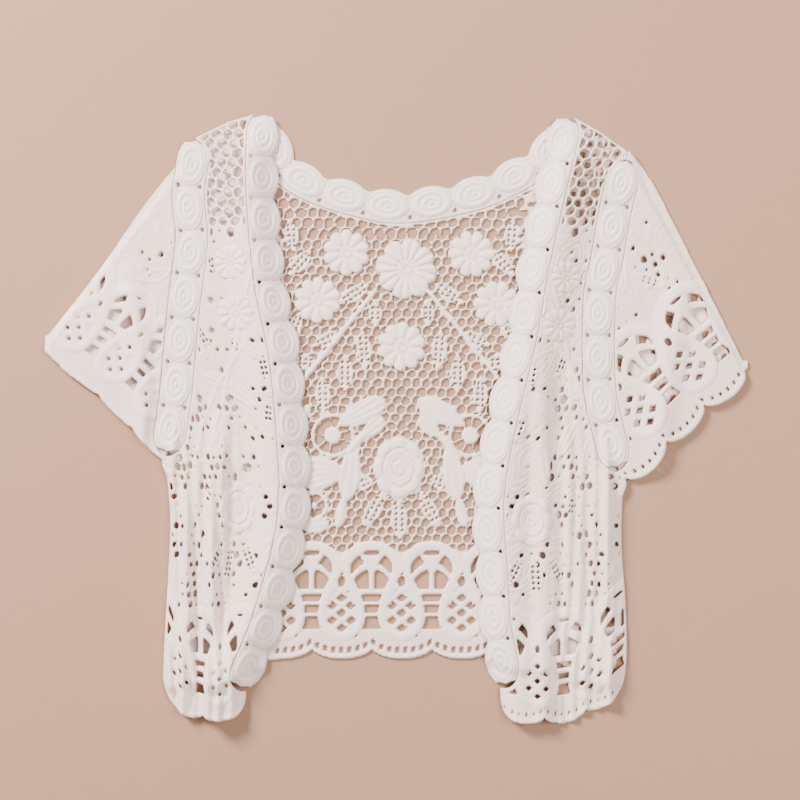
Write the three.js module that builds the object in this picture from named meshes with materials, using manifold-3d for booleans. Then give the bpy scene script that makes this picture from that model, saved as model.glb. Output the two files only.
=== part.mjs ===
// Crochet lace shrug, open in front, with short wide sleeves, laid flat on its back.
// Millimetres. X runs across the body, Y from the hem up to the neck and Z up from the table.
// The back and the lower layer of each sleeve lie on the table. The fronts, the upper layers of
// the sleeves and the round-motif borders lie on them in soft folds.
import * as THREE from 'three';
import { mergeVertices } from 'three/addons/utils/BufferGeometryUtils.js';
import Module from 'manifold-3d';

const wasm = await Module();
wasm.setup();

// Cloth
const CLOTH = 1.6; // thickness of the lace between its motifs
const RELIEF = 1.0; // how far flowers, leaves and rings stand up from it
const SEAM = 0.3; // space between pieces that are sewn together
const UPPER = CLOTH + RELIEF + SEAM; // height of the upper layer's underside
const FOLD_OVER = 5.5; // width over which the upper layer rolls down to the table at a folded edge
const LOWER_INSET = 8; // how far inside that edge the lower layer ends

// Lace repeats
const NET_PITCH = 8.8;
const NET_GAP = 3.5; // half the width of a net cell, corner to corner
const BAND_PITCH = 48; // one pineapple and one scallop of the hem
const BAND_CUSP = -184; // height at which two scallops of the back hem meet
const SCALLOP = 9; // how far a scallop hangs below its cusps
const MIDDLE = 4; // centre line of the back, a little right of the middle as it lies

// Round motifs, which touch along each border
const MOTIF = { pitch: 34, across: 23, overlap: 1.2 };
const NECK_MOTIF = { pitch: 34, across: 25, overlap: 1.2 };

// Each side's lines as it lies: out is the distance from X = 0, at the height y.
const SIDES = [
  {
    name: 'left',
    sign: -1,
    frontEdge: [
      { y: 241, out: 106 }, { y: 178, out: 106 }, { y: 109, out: 100 }, { y: 48, out: 88 },
      { y: -30, out: 81 }, { y: -65, out: 80.5 }, { y: -101, out: 85 }, { y: -164, out: 103 },
      { y: -220, out: 122 },
    ],
    armhole: [
      { y: 220, out: 160 }, { y: 179, out: 166 }, { y: 142, out: 163.5 }, { y: 86, out: 170 },
      { y: 16, out: 176.5 }, { y: -26, out: 183 },
    ],
    side: [
      { y: -38, out: 184 }, { y: -80, out: 181 }, { y: -135, out: 183 }, { y: -168, out: 185 },
      { y: -214, out: 187 },
    ],
    shoulder: [{ out: 112, y: 241 }, { out: 134, y: 233 }],
    sleeveTop: [{ out: 166, y: 214 }, { out: 201, y: 171 }, { out: 238, y: 118 }, { out: 279, y: 66 }],
    sleeveTip: [{ out: 280, y: 58 }, { out: 271, y: 41 }],
    sleeveHem: { line: [{ out: 268, y: 40 }, { out: 238, y: 18 }, { out: 184, y: -37 }], count: 3, depth: 4 },
    hem: { line: [{ out: 187, y: -216 }, { out: 160, y: -233 }, { out: 123, y: -229 }], count: 2, depth: 6 },
    rose: { out: 126, y: -72 },
    hemMotifs: [{ out: 140, y: -190 }, { out: 171, y: -188 }],
    hemGaps: [{ out: 155, y: -142 }],
    sleeveMotifs: [{ out: 226, y: 40 }, { out: 196, y: 12 }],
    ridge: { height: 11, reach: 30 },
    // Soft folds down the front: where each crest is, how wide and high, and where it starts.
    folds: [
      { out: 141, lean: 8, width: 13, height: 6, from: 20 },
      { out: 166, lean: 2, width: 10, height: 5, from: -30 },
    ],
    sleeveFolds: [{ out: 214, lean: -14, width: 16, height: 4, from: 140 }],
  },
  {
    name: 'right',
    sign: 1,
    frontEdge: [
      { y: 238, out: 136 }, { y: 195, out: 125 }, { y: 123, out: 109 }, { y: 62, out: 98 },
      { y: -6, out: 82 }, { y: -65, out: 72.5 }, { y: -131, out: 76 }, { y: -165, out: 78 },
      { y: -228, out: 92 },
    ],
    armhole: [
      { y: 204, out: 184 }, { y: 167, out: 175 }, { y: 130, out: 168.5 }, { y: 94, out: 162 },
      { y: 26, out: 162 }, { y: -10, out: 169 }, { y: -38, out: 176 },
    ],
    side: [
      { y: -54, out: 181 }, { y: -98, out: 180 }, { y: -154, out: 183.5 }, { y: -190, out: 184 },
      { y: -206, out: 183 },
    ],
    shoulder: [{ out: 139, y: 239 }, { out: 160, y: 223 }],
    sleeveTop: [{ out: 192, y: 206 }, { out: 204, y: 185 }, { out: 242, y: 113 }, { out: 276, y: 46 }],
    sleeveTip: [{ out: 280, y: 38 }],
    sleeveHem: { line: [{ out: 278, y: 36 }, { out: 236, y: 4 }, { out: 184, y: -48 }], count: 3, depth: 7 },
    hem: { line: [{ out: 183, y: -208 }, { out: 140, y: -234 }, { out: 93, y: -233 }], count: 3, depth: 7 },
    rose: { out: 107, y: -82 },
    hemMotifs: [{ out: 112, y: -195 }, { out: 152, y: -183 }],
    hemGaps: [{ out: 132, y: -145 }],
    sleeveMotifs: [{ out: 238, y: 36 }, { out: 203, y: -4 }],
    ridge: { height: 9, reach: 34 },
    folds: [
      { out: 116, lean: 2, width: 13, height: 6, from: 60 },
      { out: 168, lean: 2, width: 9, height: 5, from: 0 },
    ],
    sleeveFolds: [{ out: 226, lean: -16, width: 18, height: 4, from: 130 }],
  },
];

// Back: daisies of the yoke, the rose below them and the leaves of the two slanting stems.
const DAISIES = [
  { x: 8, y: 119, r: 25 }, { x: -40, y: 132, r: 19 }, { x: 60, y: 131, r: 19 },
  { x: -63, y: 94, r: 19 }, { x: 80, y: 91, r: 19 }, { x: 4, y: 57, r: 20 },
];
const NECK = [
  { x: -101, y: 234 }, { x: -88, y: 206 }, { x: -66, y: 190 }, { x: -30, y: 177 }, { x: 6, y: 171 },
  { x: 60, y: 180 }, { x: 95, y: 196 }, { x: 117, y: 213 }, { x: 129, y: 232 },
];
const ROSE = { x: MIDDLE, y: -42, r: 27 };
const STEMS = [
  { from: { x: -20, y: 84 }, to: { x: -76, y: 20 } },
  { from: { x: 30, y: 84 }, to: { x: 84, y: 20 } },
];
const LEAF = { long: 15, wide: 7.5 };
const YOKE = { low: 30, high: 162, half: 70 }; // where the net has open cells
const BACK_HALF = 172; // half the width over which the back's hem is scalloped
const PETAL_NOTCH = 0.76; // radius between two petals, as a share of the flower's
const PINEAPPLE = { foot: 17, top: 34, y: -163 }; // radius of the foot, height of the tip, height on the back
const PALM = { wing: 7, long: 6.2, wide: 3, tilt: 0.7, slot: 8, below: 12, y: -118 };

// One closed manifold solid from a three.js geometry.
function solidOf(geometry) {
  geometry.deleteAttribute('normal');
  geometry.deleteAttribute('uv');
  const merged = mergeVertices(geometry, 1e-3);
  return new wasm.Manifold(new wasm.Mesh({
    numProp: 3,
    vertProperties: merged.attributes.position.array,
    triVerts: new Uint32Array(merged.index.array),
  }));
}

const DEEP = -4; // where a cutting shape starts, under the table
const TALL = 60; // and where it ends, over the highest fold
const FLATNESS = 0.15; // faces that differ by less than this are one face

// An upright prism on a closed outline, with openings through it.
function prism(points, holes = []) {
  const shape = new THREE.Shape(points.map((p) => new THREE.Vector2(p.x, p.y)));
  for (const hole of holes) {
    shape.holes.push(new THREE.Path(hole.map((p) => new THREE.Vector2(p.x, p.y))));
  }
  const body = new THREE.ExtrudeGeometry(shape, { depth: TALL - DEEP, bevelEnabled: false });
  body.translate(0, 0, DEEP);
  return solidOf(body);
}

const union = (solids) => wasm.Manifold.union(solids);
const prisms = (outlines) => union(outlines.map((points) => prism(points)));
const ring = (outer, inner) => prism(outer, [inner]);

// A wall of the given thickness on the underside height(x, y), between the grid lines us and vs,
// which place(u, v) puts on the table. It runs with x along u and with y along v.
function slab(place, us, vs, thickness) {
  const [columns, rows] = [us.length - 1, vs.length - 1];
  const corners = [0, thickness].flatMap((extra) => vs.flatMap((v) => us.flatMap((u) => {
    const p = place(u, v);
    return [p.x, p.y, upperHeight(p.x, p.y) + extra];
  })));
  const layer = (rows + 1) * (columns + 1);
  const at = (column, row, top) => top * layer + row * (columns + 1) + column;
  const faces = [];
  const quad = (a, b, c, d) => faces.push(a, b, c, a, c, d);
  for (let row = 0; row < rows; row += 1) {
    for (let column = 0; column < columns; column += 1) {
      quad(at(column, row, 1), at(column + 1, row, 1), at(column + 1, row + 1, 1), at(column, row + 1, 1));
      quad(at(column, row, 0), at(column, row + 1, 0), at(column + 1, row + 1, 0), at(column + 1, row, 0));
    }
  }
  for (let column = 0; column < columns; column += 1) {
    quad(at(column, 0, 0), at(column + 1, 0, 0), at(column + 1, 0, 1), at(column, 0, 1));
    quad(at(column + 1, rows, 0), at(column, rows, 0), at(column, rows, 1), at(column + 1, rows, 1));
  }
  for (let row = 0; row < rows; row += 1) {
    quad(at(0, row + 1, 0), at(0, row, 0), at(0, row, 1), at(0, row + 1, 1));
    quad(at(columns, row, 0), at(columns, row + 1, 0), at(columns, row + 1, 1), at(columns, row, 1));
  }
  const wall = new THREE.BufferGeometry();
  wall.setAttribute('position', new THREE.Float32BufferAttribute(corners, 3));
  wall.setIndex(faces);
  return solidOf(wall);
}

const levels = (from, to, count) =>
  Array.from({ length: count + 1 }, (_, i) => from + ((to - from) * i) / count);

const smooth = (t) => {
  const k = Math.min(1, Math.max(0, t));
  return k * k * (3 - 2 * k);
};
const hump = (t) => (Math.abs(t) < 1 ? (1 + Math.cos(Math.PI * t)) / 2 : 0);

// The distance out of a side's line at the height y, smooth between the rows of its table.
function lineAt(table, y) {
  const last = table.length - 1;
  if (y >= table[0].y) return table[0].out;
  if (y <= table[last].y) return table[last].out;
  const i = table.findIndex((row) => row.y <= y) - 1;
  const t = (table[i].y - y) / (table[i].y - table[i + 1].y);
  const [a, b, c, d] = [i - 1, i, i + 1, i + 2].map((k) => table[Math.min(last, Math.max(0, k))].out);
  return b + 0.5 * t * (c - a + t * (2 * a - 5 * b + 4 * c - d + t * (3 * (b - c) + d - a)));
}

// A smooth line through a side's points, with pieces steps between them.
function curve(side, points, pieces) {
  const ends = points.map((p) => new THREE.Vector2(side.sign * p.out, p.y));
  return new THREE.SplineCurve(ends).getSpacedPoints(pieces);
}

// The same line with round scallops hanging out from it, away from the garment's middle.
function scalloped(side, { line, count, depth }) {
  const steps = 6 * count;
  const path = new THREE.SplineCurve(line.map((p) => new THREE.Vector2(side.sign * p.out, p.y)));
  return Array.from({ length: steps + 1 }, (_, i) => {
    const s = i / steps;
    const p = path.getPointAt(s);
    const way = path.getTangentAt(s);
    const lobe = depth * Math.sqrt(Math.abs(Math.sin(Math.PI * count * s)));
    return { x: p.x - side.sign * way.y * lobe, y: p.y + side.sign * way.x * lobe };
  });
}

function ellipse(x, y, long, wide, turn = 0, sides = 10) {
  return Array.from({ length: sides }, (_, i) => {
    const a = (2 * Math.PI * (i + 0.5)) / sides;
    const [u, v] = [long * Math.cos(a), wide * Math.sin(a)];
    return { x: x + u * Math.cos(turn) - v * Math.sin(turn), y: y + u * Math.sin(turn) + v * Math.cos(turn) };
  });
}

// A flower's outline: its radius swells once for each petal.
function flower(x, y, r, petals) {
  const steps = petals * 3;
  return Array.from({ length: steps }, (_, i) => {
    const a = (2 * Math.PI * i) / steps;
    const reach = i % 3 === 0 ? PETAL_NOTCH * r : r;
    return { x: x + reach * Math.cos(a), y: y + reach * Math.sin(a) };
  });
}

// A pointed leaf with its tips along its length.
function leaf(x, y, long, wide, turn) {
  const half = [-1, -0.55, 0, 0.55];
  const edge = [...half.map((t) => [t, -1]), ...half.map((t) => [-t, 1])];
  return edge.map(([t, way]) => {
    const [u, v] = [(t * long) / 2, (way * wide * (1 - t * t)) / 2];
    return { x: x + u * Math.cos(turn) - v * Math.sin(turn), y: y + u * Math.sin(turn) + v * Math.cos(turn) };
  });
}

// A pineapple motif: a drop with a round foot and a narrow top, scaled about its foot's centre.
function drop(x, y, scale) {
  const [foot, top] = [PINEAPPLE.foot * scale, PINEAPPLE.top * scale];
  const round = Array.from({ length: 9 }, (_, i) => {
    const a = Math.PI + (Math.PI * i) / 8;
    return { x: x + foot * Math.cos(a), y: y + foot * Math.sin(a) };
  });
  const waist = [1, -1].map((way) => ({ x: x + way * 0.62 * foot, y: y + 0.52 * top }));
  return [...round, waist[0], { x, y: y + top }, waist[1]];
}

const LATTICE = [[-4, 8], [4, 8], [-8, 0], [0, 0], [8, 0], [-4, -8], [4, -8]];
const diamonds = (x, y, across) =>
  LATTICE.map(([u, v]) => ellipse(x + u * across, y + v, 2.7 * across, 3.2, Math.PI / 4, 4));

// The openings of a palm motif between two pineapples: two wings and the slot below them.
const palm = (x, y) => [
  ellipse(x - PALM.wing, y + PALM.long, PALM.long, PALM.wide, PALM.tilt, 6),
  ellipse(x + PALM.wing, y + PALM.long, PALM.long, PALM.wide, -PALM.tilt, 6),
  ellipse(x, y - PALM.below, PALM.wide, PALM.slot, 0, 6),
];

// Height of the underside of the upper layer at a place on the table.
function upperHeight(x, y) {
  const side = SIDES[x < MIDDLE ? 0 : 1];
  const out = side.sign * x;
  const armpit = side.side[0].y;
  const past = lineAt(side.side, y) - out;
  const below = smooth((armpit - 4 - y) / 12);
  const bodyEdge = 1 - below * (1 - smooth(past / FOLD_OVER));
  const hemEdge = smooth((y - backHem(x) + 14) / 10);
  const [a, b] = [side.sleeveTop[0], side.sleeveTop[side.sleeveTop.length - 1]];
  const length = Math.hypot(b.out - a.out, b.y - a.y);
  const inside = ((b.out - a.out) * (a.y - y) + (b.y - a.y) * (out - a.out)) / length;
  const onSleeve = smooth((out - a.out) / 14);
  const topEdge = 1 - onSleeve * (1 - smooth((inside - 1) / FOLD_OVER));
  const rest = UPPER * Math.min(bodyEdge, topEdge) * hemEdge;

  const fromBorder = out - lineAt(side.frontEdge, y);
  const half = MOTIF.across / 2;
  const slope = smooth((fromBorder + half) / (2 * half));
  const beyond = hump((fromBorder - half) / side.ridge.reach);
  const ridge = side.ridge.height * (fromBorder < half ? slope : beyond);
  const soften = smooth((side.shoulder[0].y - y) / 40);
  const armhole = smooth((lineAt(side.armhole, y) + 6 - out) / 14);
  const inBody = y < armpit ? smooth(past / 10) : armhole;
  let lift = ridge * soften * (y < armpit ? 1 : armhole);
  for (const fold of side.folds) {
    const crest = fold.out + fold.lean * smooth((fold.from - y) / 200);
    lift += fold.height * hump((out - crest) / fold.width) * smooth((fold.from - y) / 60) * inBody;
  }
  for (const fold of side.sleeveFolds) {
    const crest = fold.out + fold.lean * smooth((fold.from - y) / 160);
    lift += fold.height * hump((out - crest) / fold.width) * smooth((fold.from - y) / 50)
      * smooth((inside - 4) / 16) * smooth((out - lineAt(side.armhole, y) - 12) / 10);
  }
  return rest + lift;
}

// The scalloped hem of the back, which hangs lower beside the side seams.
function backHem(x) {
  const off = Math.abs(x - MIDDLE);
  const lobe = Math.sqrt(Math.abs(Math.cos((Math.PI * (x - MIDDLE)) / BAND_PITCH)));
  return BAND_CUSP - SCALLOP * lobe - 16 * smooth((off - 90) / 80);
}

const WHITE = { color: 0xf3ece8, roughness: 0.85, metalness: 0 };
const shrug = new THREE.Group();
shrug.name = 'crochet_lace_shrug';

function add(name, solid) {
  const { vertProperties, triVerts } = solid.asOriginal().simplify(FLATNESS).getMesh();
  const geometry = new THREE.BufferGeometry();
  geometry.setAttribute('position', new THREE.BufferAttribute(vertProperties, 3));
  geometry.setIndex(new THREE.BufferAttribute(triVerts, 1));
  geometry.computeVertexNormals();
  const mesh = new THREE.Mesh(geometry, new THREE.MeshStandardMaterial(WHITE));
  mesh.name = name;
  shrug.add(mesh);
}

// A piece of the upper layer: a wall over the folds, cut to its outline, with raised shapes.
// grid gives its place function and its grid lines.
function upperPiece(name, grid, area, raised) {
  const wall = slab(grid.place, grid.us, grid.vs, CLOTH).intersect(area);
  const proud = slab(grid.place, grid.us, grid.vs, CLOTH + RELIEF).intersect(union(raised)).intersect(area);
  add(name, wall.add(proud));
}

// A piece that lies on the table, with a flat underside.
function lowerPiece(name, area, raised) {
  const wall = area.intersect(plate(CLOTH));
  add(name, raised.length ? wall.add(area.intersect(union(raised)).intersect(plate(CLOTH + RELIEF))) : wall);
}

function plate(thickness) {
  const sheet = new THREE.BoxGeometry(700, 600, thickness);
  sheet.translate(0, 0, thickness / 2);
  return solidOf(sheet);
}

// Places of round motifs along a path, with the way that the path runs there.
function motifsAlong(path, size) {
  const count = Math.round(path.getLength() / size.pitch);
  return Array.from({ length: count }, (_, i) => {
    const s = (i + 0.5) / count;
    const p = path.getPointAt(s);
    const way = path.getTangentAt(s);
    return { x: p.x, y: p.y, turn: Math.atan2(way.y, way.x), half: path.getLength() / count / 2 };
  });
}

const chainOf = (motifs, size, grow) => prisms(motifs.map((m) =>
  ellipse(m.x, m.y, m.half + size.overlap + grow, size.across / 2 + grow, m.turn, 10)));
const ringsOf = (motifs, size) => motifs.map((m) => ring(
  ellipse(m.x, m.y, 0.76 * m.half, 0.36 * size.across, m.turn, 7),
  ellipse(m.x, m.y, 0.42 * m.half, 0.2 * size.across, m.turn, 4),
));

const linePath = (side, table) => new THREE.SplineCurve(
  table.map((row) => new THREE.Vector2(side.sign * row.out, row.y)),
);
const linePoints = (side, table, outwards, count) => levels(table[0].y, table[table.length - 1].y, count)
  .map((y) => ({ x: side.sign * (lineAt(table, y) + outwards), y }));

// Net cells of a hexagonal ground inside a frame, where free(x, y) says that no motif is near.
function netCells(frame, free) {
  const rise = NET_PITCH * Math.sqrt(0.75);
  const cells = [];
  for (let row = 0; frame.low + row * rise < frame.high; row += 1) {
    for (let column = -12; column <= 12; column += 1) {
      const x = MIDDLE + (column + (row % 2) / 2) * NET_PITCH;
      const y = frame.low + row * rise;
      if (Math.abs(x - MIDDLE) < frame.half && free(x, y)) {
        cells.push(ellipse(x, y, NET_GAP, NET_GAP, Math.PI / 6, 6));
      }
    }
  }
  return cells;
}

// The neck border, which lies on the table with the back
const neckPath = new THREE.SplineCurve(
  NECK.map((p) => new THREE.Vector2(p.x, p.y)),
);
const neckMotifs = motifsAlong(neckPath, NECK_MOTIF);
lowerPiece('neck_border', chainOf(neckMotifs, NECK_MOTIF, 0), ringsOf(neckMotifs, NECK_MOTIF));

// The back, one panel of lace from the shoulders to the hem
const [left, right] = SIDES;
const mirrorWise = (side, table, outwards, count) => {
  const points = linePoints(side, table, outwards, count);
  return side === left ? points : points.reverse();
};
const neckEdge = levels(0, 1, 26).map((s) => {
  const p = neckPath.getPointAt(s);
  const way = neckPath.getTangentAt(s);
  return { x: p.x + way.y, y: p.y - way.x };
});
const backOutline = [
  ...mirrorWise(left, left.armhole, -SEAM / 2, 10),
  ...mirrorWise(left, left.side, -LOWER_INSET, 4),
  ...levels(-BACK_HALF, BACK_HALF, 36).map((x) => ({ x, y: backHem(x) })),
  ...mirrorWise(right, right.side, -LOWER_INSET, 4),
  ...mirrorWise(right, right.armhole, -SEAM / 2, 10),
  ...[...neckEdge].reverse(),
];
const stemLeaves = STEMS.flatMap((stem) => {
  const along = Math.atan2(stem.to.y - stem.from.y, stem.to.x - stem.from.x);
  return [0.12, 0.5, 0.88].flatMap((s) => [-1, 1].map((way) => {
    const turn = along + way * 0.75;
    const x = stem.from.x + s * (stem.to.x - stem.from.x) + (LEAF.long / 2 + 1) * Math.cos(turn);
    const y = stem.from.y + s * (stem.to.y - stem.from.y) + (LEAF.long / 2 + 1) * Math.sin(turn);
    return { x, y, turn };
  }));
});
const roseLeaves = [-2, -1, 0, 1, 2].map((k) => {
  const turn = -Math.PI / 2 + k * 0.55;
  const away = ROSE.r + LEAF.long * 0.62;
  return { x: ROSE.x + away * Math.cos(turn), y: ROSE.y + away * Math.sin(turn), turn };
});
const pineapples = [-2, -1, 0, 1, 2].map((k) => ({ x: MIDDLE + k * BAND_PITCH, y: PINEAPPLE.y }));
const palms = [-2.5, -1.5, -0.5, 0.5, 1.5, 2.5].map((k) => ({ x: MIDDLE + k * BAND_PITCH, y: PALM.y }));
const clearOf = (x, y, places, reach) => places.every((p) => Math.hypot(x - p.x, y - p.y) > reach(p));
const inYoke = (x, y) => {
  const nearest = neckEdge.reduce((best, p) => (Math.abs(p.x - x) < Math.abs(best.x - x) ? p : best));
  return y < nearest.y - 17
    && clearOf(x, y, DAISIES, (p) => p.r + 4.6)
    && clearOf(x, y, stemLeaves, () => LEAF.long / 2 + 2.4);
};
const backHoles = [
  ...netCells(YOKE, inYoke),
  ...pineapples.flatMap((p) => diamonds(p.x, p.y, 1)),
  ...palms.flatMap((p) => palm(p.x, p.y)),
];
const backRaised = [
  ...DAISIES.map((p) => prism(flower(p.x, p.y, p.r, 9))),
  ring(flower(ROSE.x, ROSE.y, ROSE.r, 8), ellipse(ROSE.x, ROSE.y, 11, 13, 0, 8)),
  ...[...stemLeaves, ...roseLeaves].map((p) => prism(leaf(p.x, p.y, LEAF.long, LEAF.wide, p.turn))),
  ...pineapples.map((p) => ring(drop(p.x, p.y, 1), drop(p.x, p.y, 0.78))),
];
lowerPiece(
  'back',
  prism(backOutline).subtract(prisms(backHoles)).subtract(chainOf(neckMotifs, NECK_MOTIF, SEAM)),
  backRaised,
);

// The fronts, the sleeves and their borders, the same way on both sides
for (const side of SIDES) {
  const placed = (p) => ({ x: side.sign * p.out, y: p.y });
  const ordered = (us) => (side.sign > 0 ? us : [...us].reverse());
  const armpit = side.side[0].y;
  const outerLine = (y) => (y > armpit ? lineAt(side.armhole, y) : lineAt(side.side, y));

  const edgeMotifs = motifsAlong(linePath(side, side.frontEdge), MOTIF);
  const armMotifs = motifsAlong(linePath(side, side.armhole), MOTIF);
  const alongLine = (table) => ({
    place: (u, y) => ({ x: side.sign * (lineAt(table, y) + u), y }),
    us: ordered([-17, 0, 17]),
    vs: levels(-250, 250, 6),
  });
  upperPiece(`${side.name}_front_border`, alongLine(side.frontEdge),
    chainOf(edgeMotifs, MOTIF, 0), ringsOf(edgeMotifs, MOTIF));
  upperPiece(`${side.name}_armhole_border`, alongLine(side.armhole),
    chainOf(armMotifs, MOTIF, 0), ringsOf(armMotifs, MOTIF));
  const armFootprint = chainOf(armMotifs, MOTIF, SEAM);

  const frontOutline = [
    ...side.shoulder.map(placed),
    ...linePoints(side, side.armhole, -1, 10),
    ...linePoints(side, side.side, 0, 5),
    ...scalloped(side, side.hem),
    ...linePoints(side, side.frontEdge, 1, 14).reverse(),
  ];
  // Columns from the front edge outwards, the last ones close together where the side rolls under.
  const sideRoll = [6.4, 4, 2, -2];
  const frontGrid = {
    place: (u, y) => {
      const [inner, outer] = [lineAt(side.frontEdge, y) - 2, outerLine(y)];
      const out = u <= 1 ? inner + u * (outer - sideRoll[0] - inner) : outer - sideRoll[u - 1];
      return { x: side.sign * out, y };
    },
    us: ordered([...levels(0, 1, 9), 2, 3, 4]),
    vs: [...levels(-252, -186, 5), ...levels(-145, 252, 10)],
  };
  const rose = placed(side.rose);
  const drops = side.hemMotifs.map(placed);
  const frontHoles = [
    ...drops.flatMap((p) => diamonds(p.x, p.y, 0.8)),
    ...side.hemGaps.map(placed).flatMap((p) => palm(p.x, p.y)),
  ];
  const frontRaised = [
    ring(flower(rose.x, rose.y, 22, 8), ellipse(rose.x, rose.y, 9, 11, 0, 8)),
    ...drops.map((p) => ring(drop(p.x, p.y, 0.9), drop(p.x, p.y, 0.68))),
  ];
  const frontArea = prism(frontOutline)
    .subtract(prisms(frontHoles))
    .subtract(chainOf(edgeMotifs, MOTIF, SEAM))
    .subtract(armFootprint);
  upperPiece(`${side.name}_front`, frontGrid, frontArea, frontRaised);

  // The sleeve's grid runs along its folded top edge and down from it.
  const [a, b] = [side.sleeveTop[0], side.sleeveTop[side.sleeveTop.length - 1]];
  const length = Math.hypot(b.out - a.out, b.y - a.y);
  const way = { out: (b.out - a.out) / length, y: (b.y - a.y) / length };
  const fromFold = (along, down) => placed({
    out: a.out + along * way.out + down * way.y,
    y: a.y + along * way.y - down * way.out,
  });
  const sleeveGrid = {
    place: (u, v) => fromFold(u, -v),
    us: ordered(levels(-30, 240, 9)),
    vs: [-190, -145, -110, -75, -48, -26, -7, -4, -1.5, 4],
  };
  const sleeveDrops = side.sleeveMotifs.map(placed);
  const sleeveArea = (seam) => prism([
    ...curve(side, side.sleeveTop, 5),
    ...side.sleeveTip.map(placed),
    ...scalloped(side, side.sleeveHem),
    ...linePoints(side, side.armhole, seam, 10).reverse(),
  ]);
  const sleeveHoles = prisms(sleeveDrops.flatMap((p) => diamonds(p.x, p.y, 0.9)));
  const foldStrip = prism([
    fromFold(-60, LOWER_INSET), fromFold(300, LOWER_INSET), fromFold(300, -20), fromFold(-60, -20),
  ]);
  const sleeveRaised = sleeveDrops.map((p) => ring(drop(p.x, p.y, 0.95), drop(p.x, p.y, 0.74)));
  upperPiece(`${side.name}_sleeve_over`, sleeveGrid,
    sleeveArea(1).subtract(sleeveHoles).subtract(armFootprint), sleeveRaised);
  lowerPiece(`${side.name}_sleeve_under`,
    sleeveArea(SEAM / 2).subtract(sleeveHoles).subtract(foldStrip), []);
}

export default shrug;
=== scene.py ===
import bpy
import numpy as np
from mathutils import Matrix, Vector


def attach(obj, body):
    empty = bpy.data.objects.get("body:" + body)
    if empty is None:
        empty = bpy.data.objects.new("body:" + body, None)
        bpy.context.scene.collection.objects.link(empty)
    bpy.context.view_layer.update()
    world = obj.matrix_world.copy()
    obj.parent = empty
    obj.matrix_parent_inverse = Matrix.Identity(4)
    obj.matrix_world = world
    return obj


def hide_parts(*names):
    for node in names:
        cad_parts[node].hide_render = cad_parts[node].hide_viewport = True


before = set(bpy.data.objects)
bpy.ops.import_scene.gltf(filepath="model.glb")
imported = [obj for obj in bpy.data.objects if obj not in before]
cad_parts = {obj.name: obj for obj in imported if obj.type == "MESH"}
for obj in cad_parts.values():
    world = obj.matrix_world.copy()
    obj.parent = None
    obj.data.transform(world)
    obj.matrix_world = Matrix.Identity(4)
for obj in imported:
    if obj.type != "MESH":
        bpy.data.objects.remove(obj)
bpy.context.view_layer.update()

# The table and the studio
# A plain tan table under the laid-out garment, one large soft light from the upper left, a
# weak one from the right and an even pale sky. The camera looks straight down.
MM = 0.001
TABLE_COLOUR = (0.40, 0.218, 0.135, 1)
GRAIN_LIGHTER = 1.04
TABLE_HALF = 3000
TABLE_DROP = 0.2
VIEW_CENTRE = (0.0028, 0.0144)
VIEW_WIDTH = 0.640
LENS, SENSOR = 85, 36
LIGHTS = [
    # place, size, watts
    ((-1.55, 1.45, 1.25), 0.7, 205),
    ((1.3, 0.1, 1.7), 1.2, 50),
]
SKY = (1.0, 0.985, 0.97, 1)
SKY_STRENGTH = 0.42


class Tree:
    """A material's node tree, with the one method that adds nodes."""

    def __init__(self, material):
        material.use_nodes = True
        self.nodes = material.node_tree.nodes
        self.links = material.node_tree.links
        self.shader = self.nodes["Principled BSDF"]

    def node(self, kind, settings=None, output=0, numbered=None, **named):
        """Adds a node: its settings, then its sockets by number or name. Gives one output."""
        made = self.nodes.new("ShaderNode" + kind)
        for name, value in (settings or {}).items():
            setattr(made, name, value)
        for socket, value in {**(numbered or {}), **named}.items():
            self.feed(made.inputs[socket], value)
        return Link(self, made.outputs[output])

    def feed(self, socket, value):
        """Links another node's output to a socket, or sets its value."""
        if isinstance(value, Link):
            self.links.new(value.socket, socket)
        else:
            socket.default_value = value

    def mix(self, factor, first, second):
        """A mix of two colours, whose sockets share their names and go by number."""
        return self.node("Mix", {"data_type": "RGBA"}, 2, {0: factor, 6: first, 7: second})

    def finish(self, **values):
        """Feeds the material's shader, with _ for a space in a socket's name."""
        for name, value in values.items():
            self.feed(self.shader.inputs[name.replace("_", " ")], value)


class Link:
    """A node's output. Arithmetic on it adds Math nodes."""

    def __init__(self, tree, socket):
        self.tree, self.socket = tree, socket

    def math(self, operation, first, second):
        return self.tree.node("Math", {"operation": operation}, 0, {0: first, 1: second})

    def __add__(self, other):
        return self.math("ADD", self, other)

    def __sub__(self, other):
        return self.math("SUBTRACT", self, other)

    def __rsub__(self, other):
        return self.math("SUBTRACT", other, self)

    def __mul__(self, other):
        return self.math("MULTIPLY", self, other)

    __radd__, __rmul__ = __add__, __mul__


def mesh_object(name, places, faces, material, raised=None):
    """A mesh from arrays of places in millimetres and of faces, shaded smooth."""
    mesh = bpy.data.meshes.new(name)
    mesh.from_pydata((np.asarray(places) * MM).tolist(), [], np.asarray(faces).tolist())
    if raised is not None:
        mesh.attributes.new("raised", "FLOAT", "POINT").data.foreach_set("value", raised)
    mesh.shade_smooth()
    mesh.materials.append(material)
    made = bpy.data.objects.new(name, mesh)
    bpy.context.scene.collection.objects.link(made)
    return made


def plain_table():
    """A large matt square just under the garment, with a faint grain."""
    material = bpy.data.materials.new("pale_table")
    tree = Tree(material)
    grain = tree.node("TexNoise", Vector=tree.node("TexCoord", output="Object"), Scale=60.0)
    lighter = tuple(GRAIN_LIGHTER * c for c in TABLE_COLOUR[:3]) + (1,)
    tree.finish(Base_Color=tree.mix(grain, TABLE_COLOUR, lighter), Roughness=0.85)
    corners = [(i * TABLE_HALF, j * TABLE_HALF, -TABLE_DROP)
               for i, j in ((-1, -1), (1, -1), (1, 1), (-1, 1))]
    mesh_object("table", corners, [(0, 1, 2, 3)], material)


plain_table()

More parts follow.
